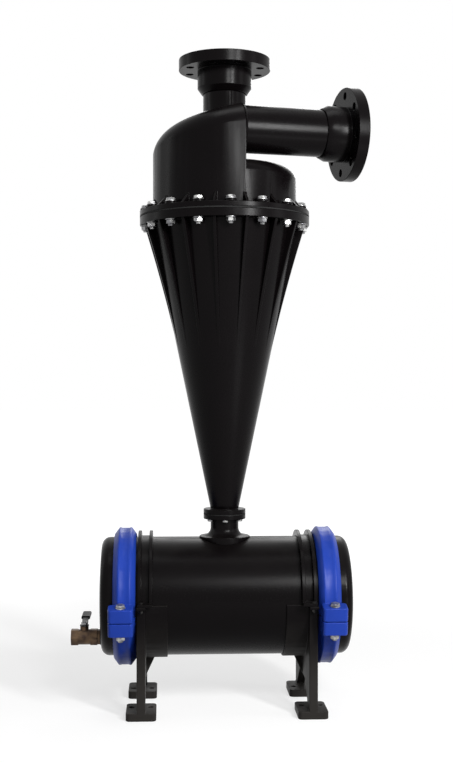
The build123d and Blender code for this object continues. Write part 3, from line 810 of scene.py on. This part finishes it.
# %% Helpers for every finish
def start_finish(name):
    """A new material with its principled shader and a wire to start from."""
    material = bpy.data.materials.new(name)
    material.use_nodes = True
    return material, material.node_tree.nodes["Principled BSDF"], Wire(material.node_tree)


def noise(wire, place, scale, detail=3):
    """A soft random pattern, from 0 to 1, with so many cells to the metre."""
    return wire.node(
        "ShaderNodeTexNoise", None, {"Vector": place, "Scale": scale, "Detail": detail}
    )


def facing_up(wire):
    """How far a surface faces the sky, from -1 to 1."""
    normal = wire.node("ShaderNodeNewGeometry", output="Normal")
    return wire.node("ShaderNodeSeparateXYZ", None, {"Vector": normal}, output="Z")


def dent(wire, height, depth, strength):
    """A normal that follows a small height, given in metres."""
    return wire.node(
        "ShaderNodeBump", None, {"Height": height, "Distance": depth, "Strength": strength}
    )


# %% [markdown]
# ### Black mouldings
# The head, cone and tank are nylon filled with soot: almost black, half glossy, with the faint orange
# peel of a steel mould. Handling leaves patches that shine more or less, dust settles on what faces up,
# and splashes dry on the legs near the ground. One plain black would hide all of that, so four noises of
# different grain drive the colour, the roughness and the bumps. The shine is kept low, because all round
# it is white.


# %% Black plastic
SOOT = (0.0016, 0.0011, 0.0013, 1)
WORN_SOOT = (0.0028, 0.0021, 0.0024, 1)
HOUSE_DUST = (0.012, 0.011, 0.010, 1)
ROAD_DUST = (0.034, 0.032, 0.029, 1)
GRIME = (0.023, 0.021, 0.0195, 1)
PLASTIC_SHINE = 0.058
PATCH_CELLS = 9
PEEL_CELLS = 420
SPECK_CELLS = 160
DUST_CELLS = 14
PEEL_DEPTH = 0.25 * MM
PEEL_STRENGTH = 0.25
SPLASH_RANGE = 0.12


def black_plastic(name, rough, dust_colour, dust_amount, stretch, grime_top=0.0):
    """Near-black moulded plastic; stretch draws its patches out, and grime climbs from the ground."""
    material, shader, wire = start_finish(name)
    coordinates = wire.node("ShaderNodeTexCoord", output="Object")
    drawn = wire.node("ShaderNodeMapping", None, {"Vector": coordinates, "Scale": stretch})
    patches = noise(wire, drawn, PATCH_CELLS, detail=5)
    peel = noise(wire, coordinates, PEEL_CELLS, detail=2)
    specks = noise(wire, coordinates, SPECK_CELLS, detail=4).ramp(low=0.55, high=0.75)
    drift = noise(wire, coordinates, DUST_CELLS, detail=5).ramp(low=0.3, high=0.75)
    dust = facing_up(wire).ramp(low=0.35, high=1.0) * drift * dust_amount
    colour = dust.blend(patches.blend(SOOT, WORN_SOOT), dust_colour)
    if grime_top > 0:
        height = wire.node("ShaderNodeSeparateXYZ", None, {"Vector": coordinates}, output="Z")
        splash = height + (patches - 0.5) * SPLASH_RANGE
        colour = splash.ramp(0.25 * grime_top, grime_top).blend(GRIME, colour)
    colour.into(shader, "Base Color")
    (rough + patches * 0.12 + specks * 0.05 + dust * 0.3).into(shader, "Roughness")
    dent(wire, peel + patches * 0.6, PEEL_DEPTH, PEEL_STRENGTH).into(shader, "Normal")
    shader.inputs["Specular IOR Level"].default_value = PLASTIC_SHINE
    return material


# %% [markdown]
# ### Blue clamps
# The clamps are iron castings under a thick blue powder coat. A plain blue would look like plastic, so
# the grain of the sand mould shows through as a fine bump, and the blue and its gloss drift a little from
# place to place.


# %% Blue coating
DEEP_BLUE = (0.0085, 0.033, 0.25, 1)
CLEAR_BLUE = (0.0135, 0.044, 0.33, 1)
COAT_SHINE = 0.13
SAND_DEPTH = 0.5 * MM
SAND_STRENGTH = 0.25


def blue_coating(name):
    """Thick powder coat on a casting."""
    material, shader, wire = start_finish(name)
    coordinates = wire.node("ShaderNodeTexCoord", output="Object")
    sand = noise(wire, coordinates, scale=110, detail=4)
    peel = noise(wire, coordinates, scale=480, detail=2)
    patches = noise(wire, coordinates, scale=12, detail=4)
    patches.blend(DEEP_BLUE, CLEAR_BLUE).into(shader, "Base Color")
    (0.26 + patches * 0.16 + sand * 0.06).into(shader, "Roughness")
    dent(wire, sand * 0.7 + peel * 0.5, SAND_DEPTH, SAND_STRENGTH).into(shader, "Normal")
    shader.inputs["Specular IOR Level"].default_value = COAT_SHINE
    return material


# %% [markdown]
# ### Brass, zinc, rubber and vinyl
# The valve's brass has gone brown in the weather, and its skin thins out in patches. The bolts are bright
# zinc, the lever and its stem are darker, and the small strap bolts are blacked. The gaskets are dull
# rubber and the lever's sleeve is soft vinyl. Five near copies of one graph would be hard to keep alike,
# so each kind is one function, and the colours are what it is given.


# %% Weathered brass
THIN_SKIN = (0.10, 0.066, 0.041, 1)
BROWN_SKIN = (0.046, 0.028, 0.020, 1)


def weathered_brass(name):
    """Brass with a brown skin that thins out in patches."""
    material, shader, wire = start_finish(name)
    coordinates = wire.node("ShaderNodeTexCoord", output="Object")
    skin = noise(wire, coordinates, scale=55, detail=5).ramp(low=0.35, high=0.7)
    grit = noise(wire, coordinates, scale=700, detail=3)
    skin.blend(THIN_SKIN, BROWN_SKIN).into(shader, "Base Color")
    (0.3 + skin * 0.22 + grit * 0.1).into(shader, "Roughness")
    (1 - skin * 0.25).into(shader, "Metallic")
    dent(wire, grit + skin * 0.5, depth=0.15 * MM, strength=0.3).into(shader, "Normal")
    return material


# %% Plated steel
def plated_steel(name, cloudy, bright):
    """Plated steel with a slightly cloudy shine, between two greys."""
    material, shader, wire = start_finish(name)
    coordinates = wire.node("ShaderNodeTexCoord", output="Object")
    cloud = noise(wire, coordinates, scale=90, detail=4)
    scratch = noise(wire, coordinates, scale=900, detail=3)
    cloud.ramp(low=0.35, high=0.65).blend(cloudy, bright).into(shader, "Base Color")
    (0.26 + cloud * 0.16 + scratch * 0.1).into(shader, "Roughness")
    dent(wire, scratch, depth=0.06 * MM, strength=0.3).into(shader, "Normal")
    shader.inputs["Metallic"].default_value = 1
    return material


# %% Rubber and vinyl
POLYMER_SHINE = 0.12


def dull_polymer(name, dark, pale, rough, grain):
    """Rubber or vinyl: matt, with a fine grain."""
    material, shader, wire = start_finish(name)
    coordinates = wire.node("ShaderNodeTexCoord", output="Object")
    patches = noise(wire, coordinates, scale=60, detail=4)
    pores = noise(wire, coordinates, grain, detail=2)
    patches.blend(dark, pale).into(shader, "Base Color")
    (rough + patches * 0.12).into(shader, "Roughness")
    dent(wire, pores, depth=0.15 * MM, strength=0.4).into(shader, "Normal")
    shader.inputs["Specular IOR Level"].default_value = POLYMER_SHINE
    return material


# %% [markdown]
# ### Dressing the pieces
# The tank's tube was drawn through a die, so its patches are drawn out along X, and the stands are
# rougher and splashed. Each piece has one finish. The gaskets and the ball inside the valve stay as
# they come from the CAD, with a finish of their own.

# %% Mix the finishes
EVEN = (1, 1, 1)
DRAWN = (0.15, 1, 1)
CLOUDY_ZINC = (0.17, 0.17, 0.18, 1)
BRIGHT_ZINC = (0.44, 0.44, 0.43, 1)
CLOUDY_LEVER = (0.025, 0.025, 0.026, 1)
BRIGHT_LEVER = (0.09, 0.09, 0.09, 1)
CLOUDY_BLACKING = (0.012, 0.011, 0.011, 1)
BRIGHT_BLACKING = (0.035, 0.034, 0.033, 1)
DARK_RUBBER = (0.010, 0.010, 0.010, 1)
PALE_RUBBER = (0.018, 0.018, 0.018, 1)
DARK_VINYL = (0.008, 0.008, 0.009, 1)
PALE_VINYL = (0.018, 0.018, 0.019, 1)
moulded_black = black_plastic("moulded_black", 0.20, HOUSE_DUST, dust_amount=0.35, stretch=EVEN)
extruded_black = black_plastic("extruded_black", 0.22, HOUSE_DUST, dust_amount=0.3, stretch=DRAWN)
stand_black = black_plastic("stand_black", 0.40, ROAD_DUST, dust_amount=0.7, stretch=EVEN, grime_top=0.24)
cast_blue = blue_coating("cast_blue")
valve_brass = weathered_brass("valve_brass")
bolt_zinc = plated_steel("bolt_zinc", CLOUDY_ZINC, BRIGHT_ZINC)
lever_plate = plated_steel("lever_plate", CLOUDY_LEVER, BRIGHT_LEVER)
blacked_steel = plated_steel("blacked_steel", CLOUDY_BLACKING, BRIGHT_BLACKING)
gasket_rubber = dull_polymer("gasket_rubber", DARK_RUBBER, PALE_RUBBER, rough=0.7, grain=500)
grip_vinyl = dull_polymer("grip_vinyl", DARK_VINYL, PALE_VINYL, rough=0.42, grain=900)
print("finishes", [material.name for material in bpy.data.materials])


# %% Give each piece its finish
def dress(pieces, material):
    """Gives pieces a finish."""
    for piece in pieces:
        piece.data.materials.clear()
        piece.data.materials.append(material)


dress(plastic_pieces.values(), moulded_black)
dress([plastic_pieces["tank_tube"]], extruded_black)
dress(stand_pieces.values(), stand_black)
dress(blue_pieces.values(), cast_blue)
dress(brass_pieces.values(), valve_brass)
dress(steel_pieces.values(), bolt_zinc)
dress([steel_pieces["lever_bar"], steel_pieces["stem_turning"]], lever_plate)
for side in ("left", "right"):
    dress([steel_pieces[f"{side}_strap_bolts"]], blacked_steel)
dress(grip_pieces.values(), grip_vinyl)
dress([frame["nodes"]["head_gasket"], frame["nodes"]["apex_gasket"]], gasket_rubber)
dress([frame["nodes"]["valve_ball"]], bolt_zinc)
print("black", len(plastic_pieces) + len(stand_pieces), "blue", len(blue_pieces), "steel", len(steel_pieces))

# %% [markdown]
# ## Floor, light and background
# The photograph is a cut-out on white. Brighter lamps would whiten the floor, but they would bleach the
# filter too. So the floor is pale and keeps a soft shadow, and both the floor and the sky are lifted to
# white only for rays that are seen, in a mirror too, and no extra light falls on the filter. Light Path
# tells those rays apart.


# %% Floor
def seen_rays(wire):
    """1 for rays from the camera, from a mirror or through glass, and 0 for the rest."""
    path = wire.tree.nodes.new("ShaderNodeLightPath")
    seen = [Wire(wire.tree, path.outputs[f"Is {kind} Ray"]) for kind in ("Camera", "Glossy", "Transmission")]
    return wire.math("MINIMUM", seen[0] + seen[1] + seen[2], 1)


FLOOR_WIDTH = 60
NEAR = 0.6
FAR = 3.0
FLOOR_GREY = (0.36, 0.36, 0.36, 1)
NEAR_LIFT = (0.66, 0.66, 0.66, 1)
FAR_LIFT = (1, 1, 1, 1)
bpy.ops.object.select_all(action="DESELECT")
bpy.ops.mesh.primitive_grid_add(x_subdivisions=2, y_subdivisions=2, size=FLOOR_WIDTH)
floor = bpy.context.object
floor.name = "floor"
pale, floor_shader, wire = start_finish("pale_floor")
pale.node_tree.nodes.remove(floor_shader)
coordinates = wire.node("ShaderNodeTexCoord", output="Object")
distance = wire.node("ShaderNodeVectorMath", {"operation": "LENGTH"}, {0: coordinates}, output="Value")
lift = distance.ramp(NEAR, FAR).blend(NEAR_LIFT, FAR_LIFT)
matt = wire.node("ShaderNodeBsdfDiffuse", None, {"Color": FLOOR_GREY})
glow = wire.node("ShaderNodeEmission", None, {"Color": lift})
lifted = wire.node("ShaderNodeAddShader", None, {0: matt, 1: glow})
shown = wire.node("ShaderNodeMixShader", None, {0: seen_rays(wire), 1: matt, 2: lifted})
shown.into(pale.node_tree.nodes["Material Output"], "Surface")
floor.data.materials.append(pale)
print("floor", floor.dimensions.x, "m wide")

# %% Sky
SKY_FILL = (0.14, 0.14, 0.14, 1)
SKY_WHITE = (1, 1, 1, 1)
sky = bpy.data.worlds.new("white_sky")
bpy.context.scene.world = sky
sky.use_nodes = True
seen = seen_rays(Wire(sky.node_tree))
seen.blend(SKY_FILL, SKY_WHITE).into(sky.node_tree.nodes["Background"], "Color")
print("sky", sky.name, "fill", SKY_FILL[0])


# %% [markdown]
# Two soft boxes make the highlights of the photograph: a tall bright one to the right of the camera draws
# the upright streak on the drum and the band along the pipe, and a dimmer one above the camera draws the
# band along the tank. A faint one near the ground lights the cone, which leans over and mirrors the
# floor. Weak ones at both sides, above and behind keep the other sides readable. A sky picture would
# light it evenly, but black plastic shows its form by what it mirrors, so plain boxes at known places
# serve better.


# %% Lamps
def soft_box(name, azimuth, distance, height, width, tall, power, aim_height=0.85):
    """A rectangular lamp at an azimuth from the front, aimed at the cyclone's axis."""
    turn_about = math.radians(azimuth)
    place = Vector((distance * math.sin(turn_about), -distance * math.cos(turn_about), height))
    aim = Vector((0, 0, aim_height)) - place
    bpy.ops.object.light_add(type="AREA", location=place, rotation=aim.to_track_quat("-Z", "Y").to_euler())
    lamp = bpy.context.object
    lamp.name = name
    lamp.data.shape = "RECTANGLE"
    lamp.data.size = width
    lamp.data.size_y = tall
    lamp.data.energy = power
    return lamp


soft_box("right_box", azimuth=31, distance=2.7, height=1.75, width=0.28, tall=1.0, power=84, aim_height=1.2)
soft_box("front_box", azimuth=14, distance=3.0, height=2.2, width=0.65, tall=0.7, power=50, aim_height=0.4)
soft_box("low_box", azimuth=35, distance=1.7, height=0.18, width=0.5, tall=0.25, power=1.2, aim_height=0.7)
soft_box("side_box", azimuth=72, distance=3.0, height=1.5, width=0.8, tall=1.8, power=10)
soft_box("left_box", azimuth=-105, distance=3.0, height=1.7, width=0.5, tall=1.8, power=5)
soft_box("top_box", azimuth=0, distance=0.25, height=3.3, width=1.2, tall=0.9, power=12, aim_height=0.6)
soft_box("back_box", azimuth=170, distance=3.2, height=2.4, width=1.6, tall=1.4, power=30)
print("lamps", [lamp.name for lamp in bpy.data.lights])
bpy.context.scene.view_settings.view_transform = "Standard"
